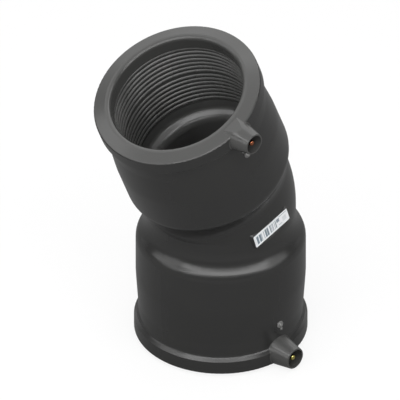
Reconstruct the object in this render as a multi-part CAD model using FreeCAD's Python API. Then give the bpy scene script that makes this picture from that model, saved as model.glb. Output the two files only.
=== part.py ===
"""Electrofusion elbow of 22.5 degrees for 90 mm polyethylene pipe.

The fitting stands on its lower socket. The origin is the centre of that socket's end face, +Z runs up its
axis, the upper socket leans towards +X, and both terminals point along +Y. Lengths are millimetres.

One limb, from its end face to the bend point, is described once in its own frame: z runs from the end face
into the fitting, and y points at the terminal. The upper limb is the same limb turned about Y.
"""
import FreeCAD, Part
import math
import os

from FreeCAD import Placement, Rotation, Vector

# Pipe and socket
pipe_diameter = 90.0
pipe_clearance = 0.5          # radial, between pipe and bore
insertion_depth = 76.5        # end face to pipe stop
limb_length = 109.5           # end face to bend point
bend_angle = 22.5
bend_radius = 43.5            # of the neck's centre line

# Neck between the two sockets
neck_diameter = 99.6
neck_bore_diameter = 77.0

# Outside of a socket, from its end face inwards
end_land_diameter = 98.4      # flat ring that the fitting stands on
end_bevel_drop = 2.35         # how far the bevelled end falls back at the collar
collar_diameter = 115.0
collar_length = 11.7
rim_round = 1.2
lip_round = 2.5               # inner edge of the mouth
waist_diameter = 109.7
waist_position = 24.7
collar_foot_round = 3.0
barrel_diameter = 112.8
barrel_position = 47.7        # where the taper reaches full diameter
taper_round = 60.0
shoulder_slope = 33.0         # degrees to the axis
shoulder_round = 11.0
neck_round = 23.0
neck_straight = 6.3           # plain neck between the shoulder's foot and the bend

# Pipe stop
stop_length = 4.0
stop_foot_round = 3.0
stop_nose_round = 6.0

# Heating coil
turns_per_group = 7
turn_spacing = 4.07
group_gap = 5.1               # between the last turn of one group and the first of the next
first_turn_position = 12.1
ridge_height = 0.75
ridge_foot = 2.3
ridge_crest = 0.9
crossover_angle = 30.0        # arc over which one turn steps to the next
seat_clearance = 0.02         # every insert in its moulded seat
zone_margin = 0.15            # bare groove beyond the first and last ridge
joint_tolerance = 0.002       # ends of neighbouring turns this close are one

# Terminal shroud and pin
terminal_position = 9.2
terminal_tip_radius = 69.8    # from the socket's axis to the shroud's tip
shroud_tip_diameter = 14.8
shroud_bore_diameter = 12.6
shroud_taper = 10.8           # half angle of the cone
shroud_floor_radius = 58.6    # from the socket's axis to the floor inside the shroud
shroud_tip_round = 0.4
shroud_floor_round = 0.8
pin_diameter = 4.0
pin_root_diameter = 5.0       # where the moulding grips it
pin_recess = 1.4              # pin tip below the shroud's tip
pin_point_chamfer = 0.5
pin_head_diameter = 8.0
pin_head_thickness = 1.5
pin_head_radius = 49.0        # from the socket's axis to the head's inner face
lead_diameter = 1.2

# Fusion indicator
indicator_position = 29.8
indicator_boss_diameter = 5.2
indicator_boss_height = 1.3
indicator_boss_round = 1.0
indicator_pin_diameter = 2.6
indicator_pin_rise = 0.4      # pin end above the boss
indicator_pin_root = 2.4      # wall left between the pin's root and the bore

# Vent nub beside the indicator
nub_position = 25.4
nub_offset = -1.6             # along X from the terminal's plane
nub_diameter = 2.2
nub_height = 1.0
nub_round = 0.85

# Link wire between the coils
link_wire_diameter = 1.4
link_socket_radius = 50.2     # from the axis, inside the socket wall
link_straight = 4.0
link_slope_length = 16.0
link_bend_round = 12.0

# Label and its flat land on the neck's terminal side
label_length = 31.5
label_height = 10.0
label_thickness = 0.15
label_corner_round = 0.8
label_drop = 4.15             # of its middle below the bend point
label_turn = 1.6              # degrees, of its face from the terminal side towards the bend's inside
label_tilt = 17.2             # degrees, of its length down towards the bend's inside
land_margin = 0.5             # land left bare round the label
land_sink = 1.0               # land below the neck's nearest line, so that only its ends stand proud
land_depth = 3.8              # from the land down to where its sloping sides end in the wall
land_headroom = 3.0           # cut free above the land
land_draft = 0.6              # how much the land's sides spread for each millimetre of depth

cut_overrun = 2.0             # cuts run this far past the face they open

pipe_radius = pipe_diameter / 2
bore_radius = pipe_radius + pipe_clearance
neck_radius = neck_diameter / 2
waist_radius = waist_diameter / 2
barrel_radius = barrel_diameter / 2
neck_bore_radius = neck_bore_diameter / 2
groove_radius = bore_radius + ridge_height
last_turn_position = first_turn_position + 2 * (turns_per_group - 1) * turn_spacing + group_gap
bend_setback = bend_radius * math.tan(math.radians(bend_angle / 2))
link_neck_radius = (neck_radius + neck_bore_radius) / 2
land_radius = neck_radius - land_sink

X = Vector(1, 0, 0)
Y = Vector(0, 1, 0)
Z = Vector(0, 0, 1)
origin = Vector(0, 0, 0)
bend_point = Z * limb_length
upper_axis = Rotation(Y, bend_angle).multVec(Z)
lower_limb = Placement()
upper_limb = Placement(bend_point + upper_axis * limb_length, Rotation(Y, 180 + bend_angle))
limbs = {"lower": lower_limb, "upper": upper_limb}


def rounded_edges(corners, closed):
    """Straight runs through the corners, each corner being (point, radius), with tangent arcs at them."""
    count = len(corners)
    entries = []
    for index, (point, radius) in enumerate(corners):
        at_end = not closed and index in (0, count - 1)
        if radius == 0 or at_end:
            entries.append((point, None, point))
            continue
        before = (corners[index - 1][0] - point).normalize()
        after = (corners[(index + 1) % count][0] - point).normalize()
        half = before.getAngle(after) / 2
        reach = radius / math.tan(half)
        inward = (before + after).normalize()
        middle = point + inward * (radius / math.sin(half) - radius)
        entries.append((point + before * reach, middle, point + after * reach))
    edges = []
    for index, (start, middle, end) in enumerate(entries):
        if middle is not None:
            edges.append(Part.Arc(start, middle, end).toShape())
        if index + 1 < count or closed:
            following = entries[(index + 1) % count][0]
            if end.distanceToPoint(following) > 1e-6:
                edges.append(Part.makeLine(end, following))
    return edges


def turned(profile):
    """Solid of revolution about the limb's axis. The profile's corners are (radius, depth, rounding)."""
    corners = [(Vector(radius, 0, depth), rounding) for radius, depth, rounding in profile]
    face = Part.Face(Part.Wire(rounded_edges(corners, closed=True)))
    return face.revolve(origin, Z, 360)


def turned_on_terminal(profile, position):
    """Solid of revolution about a line along Y at the given depth. Corners are (radius, reach, rounding)."""
    centre = Z * position
    corners = [(centre + X * radius + Y * reach, rounding) for radius, reach, rounding in profile]
    face = Part.Face(Part.Wire(rounded_edges(corners, closed=True)))
    return face.revolve(centre, Y, 360)


def rod(start, end, diameter):
    """Round rod from one point to the other."""
    return Part.makeCylinder(diameter / 2, start.distanceToPoint(end), start, end - start)


def single_solid(shape):
    """The one solid in a fused or cut shape, with its split faces merged."""
    merged = shape.removeSplitter()
    return merged.Solids[0] if len(merged.Solids) == 1 else merged


def limb_outside():
    """Outer form of one limb: bevelled end, collar, tapered barrel, shoulder and neck."""
    collar_radius = collar_diameter / 2
    chamfer = collar_radius - waist_radius
    slope = math.radians(shoulder_slope)
    neck_end = limb_length - bend_setback
    neck_start = neck_end - neck_straight - neck_round * math.tan(slope / 2)
    shoulder_start = neck_start - (barrel_radius - neck_radius) / math.tan(slope)
    return turned([
        (0, 0, 0),
        (end_land_diameter / 2, 0, 0),
        (collar_radius, end_bevel_drop, rim_round),
        (collar_radius, collar_length, 0),
        (waist_radius, collar_length + chamfer, collar_foot_round),
        (waist_radius, waist_position, taper_round / 2),
        (barrel_radius, barrel_position, taper_round),
        (barrel_radius, shoulder_start, shoulder_round),
        (neck_radius, neck_start, neck_round),
        (neck_radius, neck_end, 0),
        (0, neck_end, 0),
    ])


def limb_inside():
    """Hollow of one limb: rounded lip, socket bore with the coil's groove, pipe stop and neck bore."""
    zone_start = first_turn_position - ridge_foot / 2 - zone_margin
    zone_end = last_turn_position + ridge_foot / 2 + zone_margin
    mouth_radius = bore_radius + lip_round
    lip_middle = Vector(mouth_radius - lip_round * math.sin(math.pi / 4), 0,
                        lip_round * (1 - math.cos(math.pi / 4)))
    lip = Part.Arc(Vector(mouth_radius, 0, 0), lip_middle, Vector(bore_radius, 0, lip_round)).toShape()
    runs = rounded_edges([
        (Vector(bore_radius, 0, lip_round), 0),
        (Vector(bore_radius, 0, zone_start), 0),
        (Vector(groove_radius, 0, zone_start), 0),
        (Vector(groove_radius, 0, zone_end), 0),
        (Vector(bore_radius, 0, zone_end), 0),
        (Vector(bore_radius, 0, insertion_depth), stop_foot_round),
        (Vector(neck_bore_radius, 0, insertion_depth + stop_length), stop_nose_round),
        (Vector(neck_bore_radius, 0, limb_length - bend_setback), 0),
        (Vector(0, 0, limb_length - bend_setback), 0),
        (Vector(0, 0, -cut_overrun), 0),
        (Vector(mouth_radius, 0, -cut_overrun), 0),
        (Vector(mouth_radius, 0, 0), 0),
    ], closed=False)
    return Part.Face(Part.Wire(runs + [lip])).revolve(origin, Z, 360)


def bend_wedge(radius):
    """Round bar of the given radius turned about the bend's centre, from one limb's end to the other's.

    Where the bar is thicker than the bend, the part beyond the bend's centre is left to the limbs.
    """
    level = Z * (limb_length - bend_setback)
    centre = level + X * bend_radius
    if radius < bend_radius:
        outline = [Part.Circle(level, Z, radius).toShape()]
    else:
        half_chord = math.sqrt(radius ** 2 - bend_radius ** 2)
        chord_start = centre - Y * half_chord
        chord_end = centre + Y * half_chord
        outline = [Part.Arc(chord_start, level - X * radius, chord_end).toShape(),
                   Part.makeLine(chord_end, chord_start)]
    return Part.Face(Part.Wire(outline)).revolve(centre, Y, bend_angle)


def shroud():
    """Conical terminal shroud, cut level with the end face."""
    tip_radius = shroud_tip_diameter / 2
    root = (groove_radius + waist_radius) / 2
    root_radius = tip_radius + (terminal_tip_radius - root) * math.tan(math.radians(shroud_taper))
    cone = turned_on_terminal([
        (0, root, 0),
        (root_radius, root, 0),
        (tip_radius, terminal_tip_radius, shroud_tip_round),
        (0, terminal_tip_radius, 0),
    ], terminal_position)
    span = 4 * root_radius
    inward_side = Part.makeBox(span, terminal_tip_radius, span, Vector(-span / 2, root, 0))
    return cone.common(inward_side)


def outer_radius(depth):
    """Radius of the socket's tapered outside at the given depth."""
    rise = (depth - waist_position) / (barrel_position - waist_position)
    return waist_radius + rise * (barrel_radius - waist_radius)


def boss(depth, diameter, height, rounding):
    """Low round boss on the socket's terminal side."""
    radius = diameter / 2
    top = outer_radius(depth) + height
    return turned_on_terminal([
        (0, waist_radius - height, 0),
        (radius, waist_radius - height, 0),
        (radius, top, rounding),
        (0, top, 0),
    ], depth)


def indicator_boss():
    """Boss that holds the fusion indicator."""
    return boss(indicator_position, indicator_boss_diameter, indicator_boss_height, indicator_boss_round)


def vent_nub():
    """Small nub beside the indicator."""
    nub = boss(nub_position, nub_diameter, nub_height, nub_round)
    nub.translate(X * nub_offset)
    return nub


def indicator_boss_reach():
    """Distance from the socket's axis to the top of the indicator's boss."""
    return outer_radius(indicator_position) + indicator_boss_height


def terminal_pin():
    """Terminal pin: a buried head, a thicker root in the moulding and the free end inside the shroud."""
    pin_radius = pin_diameter / 2
    tip = terminal_tip_radius - pin_recess
    return turned_on_terminal([
        (0, pin_head_radius, 0),
        (pin_head_diameter / 2, pin_head_radius, 0),
        (pin_head_diameter / 2, pin_head_radius + pin_head_thickness, 0),
        (pin_root_diameter / 2, pin_head_radius + pin_head_thickness, 0),
        (pin_root_diameter / 2, shroud_floor_radius, 0),
        (pin_radius, shroud_floor_radius, 0),
        (pin_radius, tip - pin_point_chamfer, 0),
        (pin_radius - pin_point_chamfer, tip, 0),
        (0, tip, 0),
    ], terminal_position)


def terminal_seat():
    """Seat that the moulding leaves round the pin's head and root, and the shroud's own bore above it."""
    head_radius = pin_head_diameter / 2 + seat_clearance
    root_radius = pin_root_diameter / 2 + seat_clearance
    head_top = pin_head_radius + pin_head_thickness + seat_clearance
    shroud_bore_radius = shroud_bore_diameter / 2
    opening = terminal_tip_radius + cut_overrun
    return turned_on_terminal([
        (0, pin_head_radius - seat_clearance, 0),
        (head_radius, pin_head_radius - seat_clearance, 0),
        (head_radius, head_top, 0),
        (root_radius, head_top, 0),
        (root_radius, shroud_floor_radius, 0),
        (shroud_bore_radius, shroud_floor_radius, shroud_floor_round),
        (shroud_bore_radius, opening, 0),
        (0, opening, 0),
    ], terminal_position)


def indicator_pin():
    """Fusion indicator, a plain round pin that ends just above its boss."""
    start = Vector(0, bore_radius + indicator_pin_root, indicator_position)
    end = Vector(0, indicator_boss_reach() + indicator_pin_rise, indicator_position)
    return rod(start, end, indicator_pin_diameter)


def indicator_seat():
    """Well of the fusion indicator, open at the top of the boss."""
    start = Vector(0, bore_radius + indicator_pin_root - seat_clearance, indicator_position)
    end = Vector(0, indicator_boss_reach() + cut_overrun, indicator_position)
    return rod(start, end, indicator_pin_diameter + 2 * seat_clearance)


def ridge_section(depth, angle):
    """Section of the coil's ridge in the plane through the socket's axis at the given angle from X."""
    back = groove_radius - seat_clearance
    points = [
        Vector(back, 0, depth - ridge_foot / 2),
        Vector(bore_radius, 0, depth - ridge_crest / 2),
        Vector(bore_radius, 0, depth + ridge_crest / 2),
        Vector(back, 0, depth + ridge_foot / 2),
    ]
    outline = Part.makePolygon(points + [points[0]])
    outline.rotate(origin, Z, angle)
    return outline


def turn_positions():
    """Depth of each turn of the coil, group by group."""
    second_group = first_turn_position + (turns_per_group - 1) * turn_spacing + group_gap
    starts = [first_turn_position, second_group]
    return [start + index * turn_spacing for start in starts for index in range(turns_per_group)]


def crossover(depth, step):
    """Short slanted stretch over the terminal side that carries one turn across to the next."""
    start_angle = 90 - crossover_angle / 2
    helix = Part.makeHelix(step * 360 / crossover_angle, step, bore_radius)
    helix.rotate(origin, Z, start_angle)
    helix.translate(Z * depth)
    return Part.Wire(helix).makePipeShell([ridge_section(depth, start_angle)], True, True)


def heating_coil():
    """Coated winding in two groups of level turns, with a lead outwards from each end."""
    depths = turn_positions()
    after_crossover = 90 + crossover_angle / 2
    pieces = []
    for index, depth in enumerate(depths):
        first = index == 0
        last = index == len(depths) - 1
        start = 90 if first else after_crossover
        sweep = 360 - crossover_angle + (crossover_angle / 2) * (first + last)
        section = Part.Face(ridge_section(depth, start))
        pieces.append(section.revolve(origin, Z, sweep))
        if not last:
            pieces.append(crossover(depth, depths[index + 1] - depth))
    lead_start = (bore_radius + groove_radius) / 2
    pieces.append(lead(first_turn_position, lead_start, pin_head_radius - seat_clearance, lead_diameter))
    pieces.append(lead(last_turn_position, lead_start, link_end_radius(), lead_diameter))
    return single_solid(pieces[0].multiFuse(pieces[1:], joint_tolerance))


def lead(depth, start, end, diameter):
    """Radial stretch of coil wire through the socket wall on the terminal side."""
    return rod(Vector(0, start, depth), Vector(0, end, depth), diameter)


def link_end_radius():
    """Distance from the socket's axis to the link wire's near side, where the coil's lead meets it."""
    return link_socket_radius - link_wire_diameter / 2 - seat_clearance


def link_route():
    """Corners of the link wire's path, from the lower coil through the neck wall to the upper coil."""
    limb_points = [
        Vector(0, link_socket_radius, last_turn_position - link_straight / 2),
        Vector(0, link_socket_radius, last_turn_position + link_straight),
        Vector(0, link_neck_radius, last_turn_position + link_straight + link_slope_length),
    ]
    across = [upper_limb.multVec(point) for point in reversed(limb_points)]
    middle = bend_point + Y * link_neck_radius
    roundings = [0, link_bend_round, link_bend_round]
    corners = list(zip(limb_points, roundings))
    corners.append((middle, bend_radius))
    corners += list(zip(across, reversed(roundings)))
    return corners


def wire_along(corners, diameter):
    """Round wire of the given diameter along a rounded path."""
    path = Part.Wire(rounded_edges(corners, closed=False))
    first = corners[0][0]
    heading = corners[1][0] - first
    section = Part.Wire(Part.Circle(first, heading, diameter / 2).toShape())
    return path.makePipeShell([section], True, False)


def moved(shape, placement):
    """Copy of a shape described in a limb's own frame, set in its place."""
    copy = shape.copy()
    copy.Placement = placement.multiply(copy.Placement)
    return copy


def label_outline(margin, distance):
    """Round-cornered outline of the label, grown by a margin, at a distance from the axis."""
    half_length = label_length / 2 + margin
    half_height = label_height / 2 + margin
    corners = [(Vector(x * half_length, distance, z * half_height), label_corner_round + margin)
               for x, z in ((-1, -1), (1, -1), (1, 1), (-1, 1))]
    return Part.Wire(rounded_edges(corners, closed=True))


def on_neck(shape):
    """Shape described in the label's own frame, set in its place on the neck."""
    facing = Placement(bend_point - Z * label_drop, Rotation(Z, -label_turn))
    return moved(shape, facing.multiply(Placement(origin, Rotation(Y, label_tilt))))


def land_slab(rise):
    """Slab from the land's plane up by the given rise, or down where it is negative, spreading as it goes."""
    spread = land_margin + land_draft * abs(rise)
    outlines = [label_outline(land_margin, land_radius), label_outline(spread, land_radius + rise)]
    return on_neck(Part.makeLoft(outlines, True, True))


def barcode_label():
    """Thin film on the land."""
    return on_neck(Part.Face(label_outline(0, land_radius)).extrude(Y * label_thickness))


def elbow_body():
    """The whole moulding, with a seat for every insert."""
    outer_limb = limb_outside().multiFuse([shroud(), indicator_boss(), vent_nub()])
    lead_seat = lead_diameter + 2 * seat_clearance
    seats = [
        terminal_seat(),
        indicator_seat(),
        lead(first_turn_position, bore_radius, pin_head_radius, lead_seat),
        lead(last_turn_position, bore_radius, link_socket_radius, lead_seat),
    ]
    lower = moved(outer_limb, lower_limb)
    body = lower.multiFuse([bend_wedge(neck_radius), moved(outer_limb, upper_limb), land_slab(-land_depth)])
    hollows = [land_slab(land_headroom), bend_wedge(neck_bore_radius)]
    for placement in limbs.values():
        hollows += [moved(shape, placement) for shape in [limb_inside()] + seats]
    hollows.append(wire_along(link_route(), link_wire_diameter + 2 * seat_clearance))
    for hollow in hollows:
        body = body.cut(hollow)
    return single_solid(body)


def parts():
    """Every node's shape by name."""
    named = {"elbow_body": elbow_body(), "link_wire": wire_along(link_route(), link_wire_diameter)}
    coil = heating_coil()
    for side, placement in limbs.items():
        named[side + "_heating_coil"] = moved(coil, placement)
        named[side + "_terminal_pin"] = moved(terminal_pin(), placement)
        named[side + "_indicator_pin"] = moved(indicator_pin(), placement)
    named["barcode_label"] = barcode_label()
    return named


os.makedirs("parts", exist_ok=True)
for name, shape in parts().items():
    print(name, "solids", len(shape.Solids), "valid", shape.isValid(), "volume", round(shape.Volume, 1))
    shape.exportStep("parts/" + name + ".step")
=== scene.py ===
"""Electrofusion elbow in a pale studio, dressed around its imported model.

Lengths are millimetres in the classes below and become metres when a mesh is handed over. The
row's frame has its origin at the centre of the lower socket's end face, +Z up that socket's axis,
+X the way the upper socket leans and +Y the way both terminals point. A limb is described in its
own frame, from its end face inwards with its terminal along +Y, and is then set in its place on
the elbow.
"""

import logging
import math
from dataclasses import dataclass
from enum import Enum

import bmesh
import bpy
from mathutils import Matrix, Vector


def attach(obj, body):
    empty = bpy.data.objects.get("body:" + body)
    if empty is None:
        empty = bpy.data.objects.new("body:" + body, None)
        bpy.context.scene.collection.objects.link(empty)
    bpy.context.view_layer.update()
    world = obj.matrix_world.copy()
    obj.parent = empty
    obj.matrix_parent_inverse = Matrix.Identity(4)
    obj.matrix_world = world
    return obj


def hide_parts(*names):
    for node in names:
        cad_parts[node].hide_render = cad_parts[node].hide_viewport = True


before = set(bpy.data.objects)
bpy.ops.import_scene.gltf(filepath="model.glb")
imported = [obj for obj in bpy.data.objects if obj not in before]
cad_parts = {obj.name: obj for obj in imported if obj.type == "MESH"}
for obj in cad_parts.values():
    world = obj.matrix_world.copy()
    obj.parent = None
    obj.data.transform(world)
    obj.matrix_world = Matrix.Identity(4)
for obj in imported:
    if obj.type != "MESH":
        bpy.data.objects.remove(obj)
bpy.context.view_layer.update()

log = logging.getLogger("elbow")

MM = 0.001
ROOT_BODY = "root"
LABEL_MAP = "print"
Y_AXIS = Vector((0.0, 1.0, 0.0))
Z_AXIS = Vector((0.0, 0.0, 1.0))
WHITE = (1.0, 1.0, 1.0, 1.0)
MERGE_DISTANCE = 1e-4      # millimetres, far below any real edge
ROUND_SEGMENTS = 4         # facets of the rounding on a turned tip
NOISE_RANGE = (0.3, 0.7)   # nearly all values of a noise texture lie between these
WAVE_PHASE = 20.0          # radians of a wave texture's phase in one unit of its scaled place

Axes = tuple[Vector, Vector, Vector]


class Limb(Enum):
    """Which of the two sockets a piece belongs to."""

    LOWER = "lower"
    UPPER = "upper"


class PinMetal(Enum):
    """Metal of a terminal pin, as the record's slot names it."""

    BRASS = "brass_pin"
    COPPER = "copper_pin"


# Small tools that every piece and finish uses


def linear(hex_code: str) -> tuple[float, float, float, float]:
    """Turn an sRGB hex colour into the linear values a shader socket takes.

    Args:
        hex_code: Six hex digits, such as "2b2a29".

    Returns:
        Red, green, blue and a full alpha, by the sRGB standard's own curve.
    """
    channels = [int(hex_code[i:i + 2], 16) / 255 for i in (0, 2, 4)]
    values = [c / 12.92 if c <= 0.04045 else ((c + 0.055) / 1.055) ** 2.4 for c in channels]
    return (*values, 1.0)


def per_metre(size_mm: float) -> float:
    """Texture scale that makes one feature as long as the given millimetres."""
    return 1.0 / (size_mm * MM)


def add_node(
    tree: bpy.types.NodeTree,
    kind: str,
    settings: dict[str, object] | None = None,
    inputs: dict[str | int, object] | None = None,
) -> bpy.types.Node:
    """Add one node with its settings, values and incoming links.

    Args:
        tree: Node tree that takes the node.
        kind: The node's type name.
        settings: Values of the node's own properties.
        inputs: Values for its input sockets, by name or number. An output socket makes a link.

    Returns:
        The new node.
    """
    node = tree.nodes.new(kind)
    for name, value in (settings or {}).items():
        setattr(node, name, value)
    for key, value in (inputs or {}).items():
        if isinstance(value, bpy.types.NodeSocket):
            tree.links.new(value, node.inputs[key])
        else:
            node.inputs[key].default_value = value
    return node


def new_material(name: str) -> tuple[bpy.types.Material, bpy.types.NodeTree, bpy.types.Node]:
    """Start a material.

    Args:
        name: The real material and how its surface was made.

    Returns:
        The material, its node tree and the Principled shader in it.
    """
    material = bpy.data.materials.new(name)
    material.use_nodes = True
    tree = material.node_tree
    return material, tree, tree.nodes["Principled BSDF"]


def lathe(profile: list[tuple[float, float]], steps: int, tip_round: float) -> bmesh.types.BMesh:
    """Turn a profile about Z into a closed shape.

    Args:
        profile: Corners as (radius, height), the first and the last on the axis.
        steps: Number of facets round the axis.
        tip_round: Offset of the rounding at the last corner before the axis.

    Returns:
        The turned shape, with its seam and poles merged and its faces outwards.
    """
    bm = bmesh.new()
    corners = [bm.verts.new((radius, 0.0, height)) for radius, height in profile]
    for start, end in zip(corners, corners[1:]):
        bm.edges.new((start, end))
    bmesh.ops.bevel(bm, geom=[corners[-2]], offset=tip_round, offset_type="OFFSET",
                    segments=ROUND_SEGMENTS, profile=0.5, affect="VERTICES", material=-1)
    bmesh.ops.spin(bm, geom=bm.verts[:] + bm.edges[:], cent=(0, 0, 0), axis=Z_AXIS,
                   dvec=(0, 0, 0), angle=math.tau, steps=steps, use_merge=True)
    bmesh.ops.remove_doubles(bm, verts=bm.verts[:], dist=MERGE_DISTANCE)
    bmesh.ops.recalc_face_normals(bm, faces=bm.faces[:])
    return bm


def facing_axes(azimuth: float, elevation: float) -> Axes:
    """Axes of a camera or lamp that stands off in a direction and faces back along it.

    Args:
        azimuth: Degrees from +X towards +Y.
        elevation: Degrees above the floor.

    Returns:
        Its directions to the right, up, and back away from what it faces.
    """
    around, above = math.radians(azimuth), math.radians(elevation)
    right = Vector((-math.sin(around), math.cos(around), 0.0))
    back = Vector((math.cos(around) * math.cos(above), math.sin(around) * math.cos(above),
                   math.sin(above)))
    return right, back.cross(right), back


def stand_off(target: Vector, axes: Axes, distance: float) -> Matrix:
    """Place of a camera or lamp that faces a target.

    Args:
        target: What it faces, in millimetres.
        axes: Its directions to the right, up and back.
        distance: How far back it stands, in millimetres.

    Returns:
        The matrix, in metres.
    """
    turn = Matrix(axes).transposed().to_4x4()
    return Matrix.Translation((target + axes[2] * distance) * MM) @ turn


@dataclass
class Piece:
    """A finished mesh on its way into the scene."""

    name: str
    node: str
    slot: str
    material: bpy.types.Material
    sharp_angle: float = 35.0

    def hand_over(self, bm: bmesh.types.BMesh, place: Matrix) -> bpy.types.Object:
        """Put the mesh in its place, in metres, and let it stand for its CAD node.

        Args:
            bm: Shape in millimetres, in its own frame. It is freed here.
            place: From that frame to the row's frame, in millimetres.

        Returns:
            The new object, at the origin, with its place in its mesh.
        """
        bmesh.ops.transform(bm, matrix=Matrix.Scale(MM, 4) @ place, verts=bm.verts[:])
        mesh = bpy.data.meshes.new(self.name)
        bm.to_mesh(mesh)
        bm.free()
        mesh.polygons.foreach_set("use_smooth", [True] * len(mesh.polygons))
        mesh.set_sharp_from_angle(angle=math.radians(self.sharp_angle))
        mesh.materials.append(self.material)
        obj = bpy.data.objects.new(self.name, mesh)
        bpy.context.scene.collection.objects.link(obj)
        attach(obj, ROOT_BODY)
        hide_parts(self.node)
        log.info("%s: %d faces, stands for %s", self.name, len(mesh.polygons), self.node)
        return obj


def dress(node: str, material: bpy.types.Material) -> None:
    """Give a CAD node that stays in view its material.

    Args:
        node: The CAD node's name.
        material: Its finish.
    """
    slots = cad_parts[node].data.materials
    slots.clear()
    slots.append(material)
    log.info("%s: kept from the CAD model, dressed in %s", node, material.name)


@dataclass(frozen=True)
class BendFrame:
    """Where the two limbs meet, and where each one's own frame lies."""

    limb_length: float = 109.5
    bend_angle: float = 22.5

    @property
    def bend_point(self) -> Vector:
        """Crossing of the two socket axes."""
        return Vector((0.0, 0.0, self.limb_length))

    @property
    def upper_axis(self) -> Vector:
        """Direction from the bend point out of the upper socket."""
        return Matrix.Rotation(math.radians(self.bend_angle), 3, "Y") @ Z_AXIS

    def place(self, limb: Limb) -> Matrix:
        """Place of a limb's own frame in the row's frame.

        Args:
            limb: The limb.

        Returns:
            The matrix, in millimetres.
        """
        if limb is Limb.LOWER:
            return Matrix.Identity(4)
        turn = Matrix.Rotation(math.radians(180.0 + self.bend_angle), 4, "Y")
        return Matrix.Translation(self.bend_point + self.upper_axis * self.limb_length) @ turn

    def pin_place(self, limb: Limb, depth: float) -> Matrix:
        """Place of the frame of a pin, which is turned about Z and points the terminals' way.

        Args:
            limb: The limb.
            depth: Depth of the pin below the limb's end face.

        Returns:
            The matrix, in millimetres.
        """
        lay_down = Matrix.Rotation(-math.pi / 2, 4, "X")
        return self.place(limb) @ Matrix.Translation(Z_AXIS * depth) @ lay_down


# Finishes


@dataclass(frozen=True)
class MouldedPolyethylene:
    """Black PE100, injection moulded against a finely eroded tool."""

    colour: str = "2a2a2a"
    bloom_colour: str = "2d2d2c"
    ior: float = 1.51
    roughness: float = 0.23
    roughness_spread: float = 0.015
    flow: float = 28.0
    flow_detail: float = 3.0
    grain: float = 0.9            # three times as coarse as the real erosion, so that it shows
    grain_breakup: float = 0.6
    grain_height: float = 0.012

    def build(self, name: str = "pe100_moulded_black") -> bpy.types.Material:
        """Make the material.

        The eye sees a deep neutral black with a soft waxy sheen: highlights are broad, slightly
        uneven where the melt flowed, and broken up by the tool's fine grain.

        Args:
            name: The real material and how its surface was made.

        Returns:
            The material.
        """
        material, tree, shader = new_material(name)
        place = add_node(tree, "ShaderNodeTexCoord").outputs["Object"]
        flow = add_node(tree, "ShaderNodeTexNoise", inputs={
            "Vector": place, "Scale": per_metre(self.flow), "Detail": self.flow_detail})
        grain = add_node(tree, "ShaderNodeTexNoise", inputs={
            "Vector": place, "Scale": per_metre(self.grain), "Roughness": self.grain_breakup})
        colour = add_node(tree, "ShaderNodeMix", {"data_type": "RGBA"}, {
            "Factor": flow.outputs["Fac"],
            "A": linear(self.colour), "B": linear(self.bloom_colour)})
        sheen = add_node(tree, "ShaderNodeMapRange", inputs={
            "Value": flow.outputs["Fac"], "From Min": NOISE_RANGE[0], "From Max": NOISE_RANGE[1],
            "To Min": self.roughness - self.roughness_spread,
            "To Max": self.roughness + self.roughness_spread})
        bump = add_node(tree, "ShaderNodeBump", inputs={
            "Height": grain.outputs["Fac"], "Distance": self.grain_height * MM})
        zoned = self.zones(tree, place, colour.outputs["Result"])
        tree.links.new(zoned, shader.inputs["Base Color"])
        tree.links.new(sheen.outputs["Result"], shader.inputs["Roughness"])
        tree.links.new(bump.outputs["Normal"], shader.inputs["Normal"])
        shader.inputs["IOR"].default_value = self.ior
        return material

    def zones(self, tree: bpy.types.NodeTree, place: bpy.types.NodeSocket,
              colour: bpy.types.NodeSocket) -> bpy.types.NodeSocket:
        """Leave the colour as it is all over.

        Args:
            tree: The material's node tree.
            place: Place on the object, in metres.
            colour: Colour of the plain moulding.

        Returns:
            The colour to use.
        """
        return colour


@dataclass(frozen=True)
class PaintedLightSpot:
    """Round place on the terminal side painted paler as painted light, in the limb's own frame."""

    depth: float
    radius: float
    reach: float
    colour: str
    offset: float = 0.0

    def mask(self, tree: bpy.types.NodeTree, local: bpy.types.NodeSocket) -> bpy.types.NodeSocket:
        """Mark the place.

        Args:
            tree: The material's node tree.
            local: Place in the limb's frame, in metres.

        Returns:
            A socket that is 1 within the radius and beyond the reach, and 0 elsewhere.
        """
        off_axis = add_node(tree, "ShaderNodeVectorMath", {"operation": "MULTIPLY_ADD"}, {
            0: local, 1: (1.0, 0.0, 1.0), 2: (-self.offset * MM, 0.0, -self.depth * MM)})
        away = add_node(tree, "ShaderNodeVectorMath", {"operation": "LENGTH"}, {
            0: off_axis.outputs["Vector"]})
        around = add_node(tree, "ShaderNodeMath", {"operation": "LESS_THAN"}, {
            0: away.outputs["Value"], 1: self.radius * MM})
        axes = add_node(tree, "ShaderNodeSeparateXYZ", inputs={"Vector": local})
        outside = add_node(tree, "ShaderNodeMath", {"operation": "GREATER_THAN"}, {
            0: axes.outputs["Y"], 1: self.reach * MM})
        return add_node(tree, "ShaderNodeMath", {"operation": "MULTIPLY"}, {
            0: around.outputs["Value"], 1: outside.outputs["Value"]}).outputs["Value"]


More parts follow.
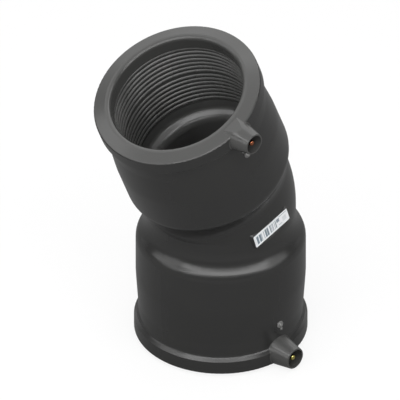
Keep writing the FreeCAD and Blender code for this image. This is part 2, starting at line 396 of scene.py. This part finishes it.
@dataclass(frozen=True)
class FittingPolyethylene(MouldedPolyethylene):
    """The fitting's own moulding, with painted light on its end faces, bores, terminal shrouds and
    bosses.
    """

    bend: BendFrame = BendFrame()
    # Painted light: the end faces are paler for the light that falls on them from above.
    painted_light_end_colour: str = "3e3e3d"
    end_depth: float = 2.45
    # Painted light: the bore and the deep passage beyond its windings are paler to lift the shade
    # inside them.
    painted_light_bore_colour: str = "3d3d3c"
    bore_radius: float = 48.0
    painted_light_passage_colour: str = "545453"
    passage_depth: float = 68.5
    spots: tuple[PaintedLightSpot, ...] = (
        # Painted light on the terminal shroud, which light from above reaches, and painted
        # highlights on the indicator boss and the vent nub beside it.
        PaintedLightSpot(depth=9.2, radius=10.6, reach=49.0, colour="454544"),
        PaintedLightSpot(depth=29.8, radius=2.7, reach=55.2, colour="6a6a69"),
        PaintedLightSpot(depth=25.4, radius=1.3, reach=54.8, colour="6a6a69", offset=-1.6),
    )

    def zones(self, tree: bpy.types.NodeTree, place: bpy.types.NodeSocket,
              colour: bpy.types.NodeSocket) -> bpy.types.NodeSocket:
        """Lighten what is trimmed, rubbed or handled.

        Paint light on the end faces, bores, shrouds and bosses.
        shows its windings.

        Args:
            tree: The material's node tree.
            place: Place on the object, in metres.
            colour: Colour of the plain moulding.

        Returns:
            The colour to use.
        """
        for limb in Limb:
            to_limb = self.bend.place(limb)
            local = add_node(tree, "ShaderNodeMapping", {"vector_type": "TEXTURE"}, {
                "Vector": place, "Location": to_limb.to_translation() * MM,
                "Rotation": to_limb.to_euler()}).outputs["Vector"]
            depth = add_node(tree, "ShaderNodeSeparateXYZ", inputs={"Vector": local}).outputs["Z"]
            flat = add_node(tree, "ShaderNodeVectorMath", {"operation": "MULTIPLY"}, {
                0: local, 1: (1.0, 1.0, 0.0)})
            radius = add_node(tree, "ShaderNodeVectorMath", {"operation": "LENGTH"}, {
                0: flat.outputs["Vector"]}).outputs["Value"]
            inside, within, beyond, end = [
                add_node(tree, "ShaderNodeMath", {"operation": side}, {0: measure, 1: limit * MM})
                for side, measure, limit in (
                    ("LESS_THAN", radius, self.bore_radius),
                    ("LESS_THAN", depth, self.bend.limb_length),
                    ("GREATER_THAN", depth, self.passage_depth),
                    ("LESS_THAN", depth, self.end_depth))]
            bore = add_node(tree, "ShaderNodeMath", {"operation": "MULTIPLY"}, {
                0: inside.outputs["Value"], 1: within.outputs["Value"]})
            passage = add_node(tree, "ShaderNodeMath", {"operation": "MULTIPLY"}, {
                0: bore.outputs["Value"], 1: beyond.outputs["Value"]})
            # Painted light: the bore, the deep passage, the spots and the end faces are lifted to
            # paler greys.
            tints = [(bore.outputs["Value"], self.painted_light_bore_colour),
                     (passage.outputs["Value"], self.painted_light_passage_colour)]
            tints += [(spot.mask(tree, local), spot.colour) for spot in self.spots]
            tints.append((end.outputs["Value"], self.painted_light_end_colour))
            for mask, tint in tints:
                colour = add_node(tree, "ShaderNodeMix", {"data_type": "RGBA"}, {
                    "Factor": mask, "A": colour, "B": linear(tint)}).outputs["Result"]
        return colour


@dataclass(frozen=True)
class TurnedMetal:
    """Pin turned on a lathe and tumbled, so that faint rings run round it."""

    name: str
    colour: str
    worn_colour: str
    roughness: float = 0.18
    polish: float = 0.06          # how much smoother the handled places are
    dulling: float = 0.12         # how much rougher the tarnished places are
    tarnish: float = 2.5
    tarnish_detail: float = 4.0
    tarnish_breakup: float = 0.6
    ring: float = 0.69            # several times as coarse as the tool's feed, so that it shows
    ring_height: float = 0.01
    ring_strength: float = 0.5
    ring_waver: float = 0.4

    def build(self) -> bpy.types.Material:
        """Make the material.

        The eye sees warm metal with a small sharp glint, duller and darker where fingers and air
        have reached it, and fine rings that lengthen the glint.

        Returns:
            The material.
        """
        material, tree, shader = new_material(self.name)
        place = add_node(tree, "ShaderNodeTexCoord").outputs["Object"]
        tarnish = add_node(tree, "ShaderNodeTexNoise", inputs={
            "Vector": place, "Scale": per_metre(self.tarnish),
            "Detail": self.tarnish_detail, "Roughness": self.tarnish_breakup})
        rings = add_node(tree, "ShaderNodeTexWave", {"bands_direction": "Y"}, {
            "Vector": place, "Scale": per_metre(self.ring) * math.tau / WAVE_PHASE,
            "Distortion": self.ring_waver})
        colour = add_node(tree, "ShaderNodeMix", {"data_type": "RGBA"}, {
            "Factor": tarnish.outputs["Fac"],
            "A": linear(self.colour), "B": linear(self.worn_colour)})
        gloss = add_node(tree, "ShaderNodeMapRange", inputs={
            "Value": tarnish.outputs["Fac"],
            "From Min": NOISE_RANGE[0], "From Max": NOISE_RANGE[1],
            "To Min": self.roughness - self.polish, "To Max": self.roughness + self.dulling})
        bump = add_node(tree, "ShaderNodeBump", inputs={
            "Height": rings.outputs["Fac"], "Distance": self.ring_height * MM,
            "Strength": self.ring_strength})
        tree.links.new(colour.outputs["Result"], shader.inputs["Base Color"])
        tree.links.new(gloss.outputs["Result"], shader.inputs["Roughness"])
        tree.links.new(bump.outputs["Normal"], shader.inputs["Normal"])
        shader.inputs["Metallic"].default_value = 1.0
        return material


@dataclass(frozen=True)
class PrintBlock:
    """Upright block of print on the label, in shares of the label's length and height."""

    middle: float
    half_length: float
    level: float
    half_height: float
    darkness: float = 1.0

    def mask(self, tree: bpy.types.NodeTree, along: bpy.types.NodeSocket,
             across: bpy.types.NodeSocket) -> bpy.types.NodeSocket:
        """Mark the block.

        Args:
            tree: The material's node tree.
            along: Place along the label, from 0 to 1.
            across: Place across it, from 0 to 1.

        Returns:
            A socket that has the block's darkness inside it and is 0 elsewhere.
        """
        inside = [
            add_node(tree, "ShaderNodeMath", {"operation": "COMPARE"}, {
                0: way, 1: centre, 2: reach})
            for way, centre, reach in ((along, self.middle, self.half_length),
                                       (across, self.level, self.half_height))]
        both = add_node(tree, "ShaderNodeMath", {"operation": "MULTIPLY"}, {
            0: inside[0].outputs["Value"], 1: inside[1].outputs["Value"]})
        return add_node(tree, "ShaderNodeMath", {"operation": "MULTIPLY"}, {
            0: both.outputs["Value"], 1: self.darkness}).outputs["Value"]


@dataclass(frozen=True)
class PrintedFilm:
    """White polyester film, thermal printed with plain bars."""

    film_colour: str = "f6f8fa"
    print_colour: str = "7b8a94"
    roughness: float = 0.32
    columns: float = 92.0         # a third of a millimetre each on a 31.5 mm label
    bare_share: float = 0.42
    bars: PrintBlock = PrintBlock(0.355, 0.29, 0.49, 0.34)
    blocks: tuple[PrintBlock, ...] = (
        # Middle and half length along the label, middle and half height across it.
        PrintBlock(0.7, 0.04, 0.67, 0.15, darkness=0.9),
        PrintBlock(0.855, 0.11, 0.87, 0.025, darkness=0.8),
        PrintBlock(0.88, 0.055, 0.45, 0.2, darkness=0.25),
        PrintBlock(0.75, 0.05, 0.22, 0.04, darkness=0.5),
    )

    def build(self, name: str = "polyester_film_printed") -> bpy.types.Material:
        """Make the material.

        The eye sees a cool white satin strip, bars across its left two thirds and a few plain
        blocks beside them, all in the soft blue grey that such print takes on from a distance.

        Args:
            name: The real material and how its surface was made.

        Returns:
            The material.
        """
        material, tree, shader = new_material(name)
        place = add_node(tree, "ShaderNodeUVMap", {"uv_map": LABEL_MAP}).outputs["UV"]
        axes = add_node(tree, "ShaderNodeSeparateXYZ", inputs={"Vector": place})
        along, across = axes.outputs["X"], axes.outputs["Y"]
        column = add_node(tree, "ShaderNodeMath", {"operation": "MULTIPLY"}, {
            0: along, 1: self.columns})
        index = add_node(tree, "ShaderNodeMath", {"operation": "FLOOR"}, {
            0: column.outputs["Value"]})
        noise = add_node(tree, "ShaderNodeTexWhiteNoise", {"noise_dimensions": "1D"}, {
            "W": index.outputs["Value"]})
        inked = add_node(tree, "ShaderNodeMath", {"operation": "GREATER_THAN"}, {
            0: noise.outputs["Value"], 1: self.bare_share})
        ink = add_node(tree, "ShaderNodeMath", {"operation": "MULTIPLY"}, {
            0: inked.outputs["Value"], 1: self.bars.mask(tree, along, across)})
        for block in self.blocks:
            ink = add_node(tree, "ShaderNodeMath", {"operation": "MAXIMUM"}, {
                0: ink.outputs["Value"], 1: block.mask(tree, along, across)})
        colour = add_node(tree, "ShaderNodeMix", {"data_type": "RGBA"}, {
            "Factor": ink.outputs["Value"],
            "A": linear(self.film_colour), "B": linear(self.print_colour)})
        tree.links.new(colour.outputs["Result"], shader.inputs["Base Color"])
        shader.inputs["Roughness"].default_value = self.roughness
        return material


# The fitting's pieces


@dataclass
class Winding:
    """Heating coil of one socket: coated wire, pressed into its groove in two groups of turns."""

    bend: BendFrame
    limb: Limb
    material: bpy.types.Material
    bore_radius: float = 45.5
    groove_radius: float = 46.23
    turns_per_group: int = 7
    turn_spacing: float = 4.07
    group_gap: float = 5.1
    first_turn: float = 12.1
    ridge_foot: float = 2.3
    ridge_crest: float = 0.9
    crest_round: float = 0.42
    crest_segments: int = 3
    crossover: float = 30.0       # degrees of each turn that step down to the next one
    steps_per_turn: int = 96

    def depths(self) -> list[float]:
        """Lay out the turns.

        Returns:
            Depth of each turn below the end face.
        """
        group_length = (self.turns_per_group - 1) * self.turn_spacing
        starts = (self.first_turn, self.first_turn + group_length + self.group_gap)
        return [start + index * self.turn_spacing
                for start in starts for index in range(self.turns_per_group)]

    def section(
        self, bm: bmesh.types.BMesh, depth: float,
    ) -> list[bmesh.types.BMVert | bmesh.types.BMEdge | bmesh.types.BMFace]:
        """Rounded section of the ridge, in the plane where the first turn starts.

        Args:
            bm: Mesh that takes it.
            depth: Depth of its middle.

        Returns:
            Its vertices, edges and face.
        """
        foot, crest = self.ridge_foot / 2, self.ridge_crest / 2
        corners = [(self.groove_radius, -foot), (self.bore_radius, -crest),
                   (self.bore_radius, crest), (self.groove_radius, foot)]
        face = bm.faces.new([bm.verts.new((0.0, radius, depth + offset))
                             for radius, offset in corners])
        middle_radius = (self.bore_radius + self.groove_radius) / 2
        bmesh.ops.bevel(bm, geom=[v for v in face.verts if v.co.y < middle_radius],
                        offset=self.crest_round, offset_type="OFFSET",
                        segments=self.crest_segments, profile=0.5, affect="VERTICES", material=-1)
        return bm.verts[:] + bm.edges[:] + bm.faces[:]

    def build(self) -> bpy.types.Object:
        """Wind the coil as one continuous ridge.

        Returns:
            The coil, in place of its CAD node.
        """
        bm = bmesh.new()
        depths = self.depths()
        ring = self.section(bm, depths[0])
        level_steps = round(self.steps_per_turn * (360 - self.crossover) / 360)
        cross_steps = self.steps_per_turn - level_steps
        half = math.radians(self.crossover / 2)
        last = len(depths) - 1
        for index, depth in enumerate(depths):
            sweep = math.tau - 2 * half + half * ((index == 0) + (index == last))
            ring = bmesh.ops.spin(bm, geom=ring, cent=(0, 0, 0), axis=Z_AXIS, dvec=(0, 0, 0),
                                  angle=sweep, steps=level_steps, use_merge=False)["geom_last"]
            if index < last:
                step = (depths[index + 1] - depth) / cross_steps
                ring = bmesh.ops.spin(bm, geom=ring, cent=(0, 0, 0), axis=Z_AXIS,
                                      dvec=(0, 0, step), angle=2 * half, steps=cross_steps,
                                      use_merge=False)["geom_last"]
        bmesh.ops.remove_doubles(bm, verts=bm.verts[:], dist=MERGE_DISTANCE)
        bmesh.ops.recalc_face_normals(bm, faces=bm.faces[:])
        node = self.limb.value + "_heating_coil"
        piece = Piece(self.limb.value + "_winding", node, "coil", self.material)
        return piece.hand_over(bm, self.bend.place(self.limb))


@dataclass
class TerminalPin:
    """Terminal pin in its shroud: buried head, root in the moulding, free end, rounded tip."""

    bend: BendFrame
    limb: Limb
    metal: PinMetal
    material: bpy.types.Material
    depth: float = 9.2
    head_diameter: float = 8.0
    head_reach: float = 49.0
    head_thickness: float = 1.5
    root_diameter: float = 5.0
    well_floor_reach: float = 58.6
    diameter: float = 4.0
    tip_reach: float = 68.4
    tip_round: float = 1.1
    steps: int = 48

    def build(self) -> bpy.types.Object:
        """Turn the pin.

        Returns:
            The pin, in place of its CAD node.
        """
        head, root, free = self.head_diameter / 2, self.root_diameter / 2, self.diameter / 2
        head_top = self.head_reach + self.head_thickness
        profile = [
            (0.0, self.head_reach), (head, self.head_reach), (head, head_top), (root, head_top),
            (root, self.well_floor_reach), (free, self.well_floor_reach), (free, self.tip_reach),
            (0.0, self.tip_reach)]
        bm = lathe(profile, self.steps, self.tip_round)
        node = self.limb.value + "_terminal_pin"
        piece = Piece(self.limb.value + "_pin", node, self.metal.value, self.material)
        return piece.hand_over(bm, self.bend.pin_place(self.limb, self.depth))


@dataclass
class IndicatorPin:
    """Fusion indicator in its well, with a domed end that stands just above its boss."""

    bend: BendFrame
    limb: Limb
    material: bpy.types.Material
    depth: float = 29.8
    diameter: float = 2.6
    root_reach: float = 47.9
    end_reach: float = 56.89
    end_round: float = 0.8
    steps: int = 32

    def build(self) -> bpy.types.Object:
        """Turn the pin.

        Returns:
            The pin, in place of its CAD node.
        """
        radius = self.diameter / 2
        profile = [(0.0, self.root_reach), (radius, self.root_reach),
                   (radius, self.end_reach), (0.0, self.end_reach)]
        bm = lathe(profile, self.steps, self.end_round)
        node = self.limb.value + "_indicator_pin"
        piece = Piece(self.limb.value + "_indicator", node, "indicator", self.material)
        return piece.hand_over(bm, self.bend.pin_place(self.limb, self.depth))


@dataclass
class BarLabel:
    """Thin label on its flat land, a little askew on the neck's terminal side."""

    bend: BendFrame
    material: bpy.types.Material
    length: float = 31.5
    height: float = 10.0
    corner_round: float = 0.8
    corner_segments: int = 6
    thickness: float = 0.14
    land_reach: float = 48.81
    drop: float = 4.15
    turn: float = 1.6
    tilt: float = 17.2

    def cut(self) -> bmesh.types.BMesh:
        """Cut the label flat, face up, with round corners and a map for its print.

        Returns:
            The label, with its middle at the origin and its length along X.
        """
        bm = bmesh.new()
        bmesh.ops.create_grid(bm, x_segments=1, y_segments=1, size=0.5)
        bmesh.ops.scale(bm, vec=(self.length, self.height, 1.0), verts=bm.verts[:])
        bmesh.ops.bevel(bm, geom=bm.verts[:], offset=self.corner_round, offset_type="OFFSET",
                        segments=self.corner_segments, profile=0.5, affect="VERTICES", material=-1)
        raised = bmesh.ops.extrude_face_region(bm, geom=bm.faces[:], use_keep_orig=True)["geom"]
        bmesh.ops.translate(bm, vec=Z_AXIS * self.thickness,
                            verts=[item for item in raised if isinstance(item, bmesh.types.BMVert)])
        bmesh.ops.recalc_face_normals(bm, faces=bm.faces[:])
        layer = bm.loops.layers.uv.new(LABEL_MAP)
        for face in bm.faces:
            for loop in face.loops:
                x, y, _ = loop.vert.co
                loop[layer].uv = (0.5 + x / self.length, 0.5 + y / self.height)
        return bm

    def build(self) -> bpy.types.Object:
        """Lay the label on the land.

        Returns:
            The label, in place of its CAD node.
        """
        stand = Matrix.Rotation(math.pi, 4, "Z") @ Matrix.Rotation(math.pi / 2, 4, "X")
        place = (Matrix.Translation(self.bend.bend_point - Z_AXIS * self.drop)
                 @ Matrix.Rotation(math.radians(-self.turn), 4, "Z")
                 @ Matrix.Translation(Y_AXIS * self.land_reach)
                 @ Matrix.Rotation(math.radians(self.tilt), 4, "Y"))
        piece = Piece("bar_label", "barcode_label", "label", self.material)
        return piece.hand_over(self.cut(), place @ stand)


# Studio


@dataclass(frozen=True)
class Softbox:
    """Flat soft lamp that faces the bend point. At a radiance of 1 its face looks paper white."""

    name: str
    azimuth: float
    elevation: float
    distance: float
    width: float
    height: float
    radiance: float

    def hang(self, target: Vector) -> bpy.types.Object:
        """Hang the lamp.

        Args:
            target: What it faces, in millimetres.

        Returns:
            The lamp.
        """
        data = bpy.data.lights.new(self.name, "AREA")
        data.shape = "RECTANGLE"
        data.size = self.width * MM
        data.size_y = self.height * MM
        data.energy = self.radiance * math.pi * data.size * data.size_y
        lamp = bpy.data.objects.new(self.name, data)
        axes = facing_axes(self.azimuth, self.elevation)
        lamp.matrix_world = stand_off(target, axes, self.distance)
        lamp.visible_camera = False
        bpy.context.scene.collection.objects.link(lamp)
        return lamp


@dataclass
class Studio:
    """Pale floor, plain soft light and the camera at the photograph's angle."""

    bend: BendFrame
    azimuth: float = 45.0
    elevation: float = 35.264
    frame_width: float = 264.9
    aim_right: float = -13.745
    aim_up: float = -5.288
    camera_distance: float = 900.0
    view_depth: float = 10000.0
    floor_radius: float = 3000.0
    floor_sides: int = 96
    floor_colour: str = "6e6e6e"
    floor_roughness: float = 0.9
    floor_glow: float = 0.82
    floor_share: float = 0.1      # of the glow that a glossy ray finds
    room_level: float = 0.05
    backdrop_edge: float = 0.55   # cosine of the angle at which the backdrop is half gone
    backdrop_fade: float = 0.3
    softboxes: tuple[Softbox, ...] = (
        # Each row: name, azimuth, elevation, distance, width, height and radiance.
        # Two long strips in front: the highlights on the shoulder and the collar's chamfer.
        Softbox("front_bank", 50.5, 29.0, 1500.0, 4300.0, 460.0, 4.7),
        Softbox("high_bank", 42.0, 55.0, 1400.0, 3800.0, 220.0, 4.7),
        # One lamp on each side: the soft edges of the walls.
        Softbox("left_wing", -31.0, 15.0, 1500.0, 1100.0, 500.0, 1.8),
        Softbox("right_wing", 122.0, 15.0, 1500.0, 900.0, 500.0, 1.7),
        # Light on the end face, in the bore and on the sides that the camera doesn't see.
        Softbox("left_high", -47.0, 38.0, 1500.0, 1200.0, 380.0, 1.9),
        Softbox("top_bank", -30.0, 76.0, 1300.0, 1900.0, 1600.0, 1.05),
        Softbox("back_bank", -132.0, 48.0, 1400.0, 1700.0, 800.0, 0.9),
        Softbox("right_high", 165.0, 58.0, 1400.0, 900.0, 600.0, 2.4),
    )

    def add_camera(self) -> bpy.types.Object:
        """Place the parallel camera so that the bend point falls where the photograph has it.

        Returns:
            The camera.
        """
        axes = facing_axes(self.azimuth, self.elevation)
        right, up, _ = axes
        aim = self.bend.bend_point + right * self.aim_right + up * self.aim_up
        data = bpy.data.cameras.new("camera")
        data.type = "ORTHO"
        data.ortho_scale = self.frame_width * MM
        data.clip_end = self.view_depth * MM
        camera = bpy.data.objects.new("camera", data)
        camera.matrix_world = stand_off(aim, axes, self.camera_distance)
        bpy.context.scene.collection.objects.link(camera)
        bpy.context.scene.camera = camera
        return camera

    def add_floor(self) -> bpy.types.Object:
        """Lay the pale floor under the fitting.

        The eye sees matt white board with the fitting's soft shadow on it. The paint is mid grey,
        so that it throws little light back on the fitting. A glow that camera and transmission
        rays see in full, and glossy rays by a tenth, brings it up to white.

        Returns:
            The floor.
        """
        bm = bmesh.new()
        bmesh.ops.create_circle(bm, cap_ends=True, segments=self.floor_sides,
                                radius=self.floor_radius * MM)
        mesh = bpy.data.meshes.new("studio_floor")
        bm.to_mesh(mesh)
        bm.free()
        material, tree, shader = new_material("painted_floor_pale")
        shader.inputs["Base Color"].default_value = linear(self.floor_colour)
        shader.inputs["Roughness"].default_value = self.floor_roughness
        shader.inputs["Specular IOR Level"].default_value = 0.0
        shader.inputs["Emission Color"].default_value = WHITE
        glow = add_node(tree, "ShaderNodeMath", {"operation": "MULTIPLY"}, {
            0: self.rays_that_see_it(tree, self.floor_share), 1: self.floor_glow})
        tree.links.new(glow.outputs["Value"], shader.inputs["Emission Strength"])
        mesh.materials.append(material)
        floor = bpy.data.objects.new("studio_floor", mesh)
        bpy.context.scene.collection.objects.link(floor)
        return floor

    def rays_that_see_it(self, tree: bpy.types.NodeTree,
                         mirrored: float | bpy.types.NodeSocket) -> bpy.types.NodeSocket:
        """Pick out the rays that find the background white.

        Args:
            tree: Node tree of the floor or the room.
            mirrored: How much of it a glossy ray finds.

        Returns:
            A socket that is 1 for camera and transmission rays, the given share for glossy rays,
            and else 0.
        """
        rays = add_node(tree, "ShaderNodeLightPath").outputs
        direct = add_node(tree, "ShaderNodeMath", {"operation": "MAXIMUM"}, {
            0: rays["Is Camera Ray"], 1: rays["Is Transmission Ray"]})
        glossy = add_node(tree, "ShaderNodeMath", {"operation": "MULTIPLY"}, {
            0: rays["Is Glossy Ray"], 1: mirrored})
        return add_node(tree, "ShaderNodeMath", {"operation": "MAXIMUM"}, {
            0: direct.outputs["Value"], 1: glossy.outputs["Value"]}).outputs["Value"]

    def add_world(self) -> None:
        """Fill the room with even dim light. The rays that see its backdrop find it white.

        For reflections the backdrop is the part of the room behind the fitting, and it fades to
        the dim rest where the camera stands.
        """
        world = bpy.data.worlds.new("studio_room")
        bpy.context.scene.world = world
        world.use_nodes = True
        tree = world.node_tree
        _, _, back = facing_axes(self.azimuth, self.elevation)
        ray = add_node(tree, "ShaderNodeTexCoord").outputs["Generated"]
        facing = add_node(tree, "ShaderNodeVectorMath", {"operation": "DOT_PRODUCT"}, {
            0: ray, 1: Vector((-back.x, -back.y, 0.0)).normalized()})
        backdrop = add_node(tree, "ShaderNodeMapRange", {"interpolation_type": "SMOOTHSTEP"}, {
            "Value": facing.outputs["Value"], "From Min": self.backdrop_edge - self.backdrop_fade,
            "From Max": self.backdrop_edge + self.backdrop_fade})
        strength = add_node(tree, "ShaderNodeMix", {"data_type": "FLOAT"}, {
            "Factor": self.rays_that_see_it(tree, backdrop.outputs["Result"]),
            "A": self.room_level, "B": 1.0})
        background = tree.nodes["Background"]
        tree.links.new(strength.outputs["Result"], background.inputs["Strength"])
        background.inputs["Color"].default_value = WHITE

    def build(self) -> None:
        """Set up the whole studio."""
        self.add_camera()
        self.add_floor()
        self.add_world()
        for softbox in self.softboxes:
            softbox.hang(self.bend.bend_point)


def main() -> None:
    """Build everything in order and report each piece."""
    logging.basicConfig(level=logging.INFO, format="%(message)s")
    bpy.context.scene.view_settings.view_transform = "Standard"
    bend = BendFrame()
    Studio(bend).build()
    dress("elbow_body", FittingPolyethylene(bend=bend).build())
    # Coat extruded on the wire: smoother and paler than the moulding, the paleness partly painted
    # light that lifts the shaded bore; a line of light on each turn.
    coat = MouldedPolyethylene("4a4a49", "525251", roughness=0.27, grain_height=0.004).build(
        "polyethylene_coat_pale_painted_light")
    # Pin painted grey as a painted highlight: a small light dot on the black wall.
    indicator = MouldedPolyethylene("7a7a79", "848482", roughness=0.25, grain_height=0.002).build(
        "polyethylene_pin_painted_highlight")
    # Free-cutting brass: pale yellow with an olive tint where it has dulled.
    brass = TurnedMetal("brass_turned", "f2e894", "b5a648").build()
    # Bare copper: salmon where it is bright, brown where it has dulled.
    copper = TurnedMetal("copper_turned", "cf8764", "8a4a2c").build()
    dress("link_wire", copper)
    for limb in Limb:
        Winding(bend, limb, coat).build()
        IndicatorPin(bend, limb, indicator).build()
    BarLabel(bend, PrintedFilm().build()).build()
    TerminalPin(bend, Limb.LOWER, PinMetal.BRASS, brass).build()
    TerminalPin(bend, Limb.UPPER, PinMetal.COPPER, copper).build()


if __name__ == "__main__":
    main()
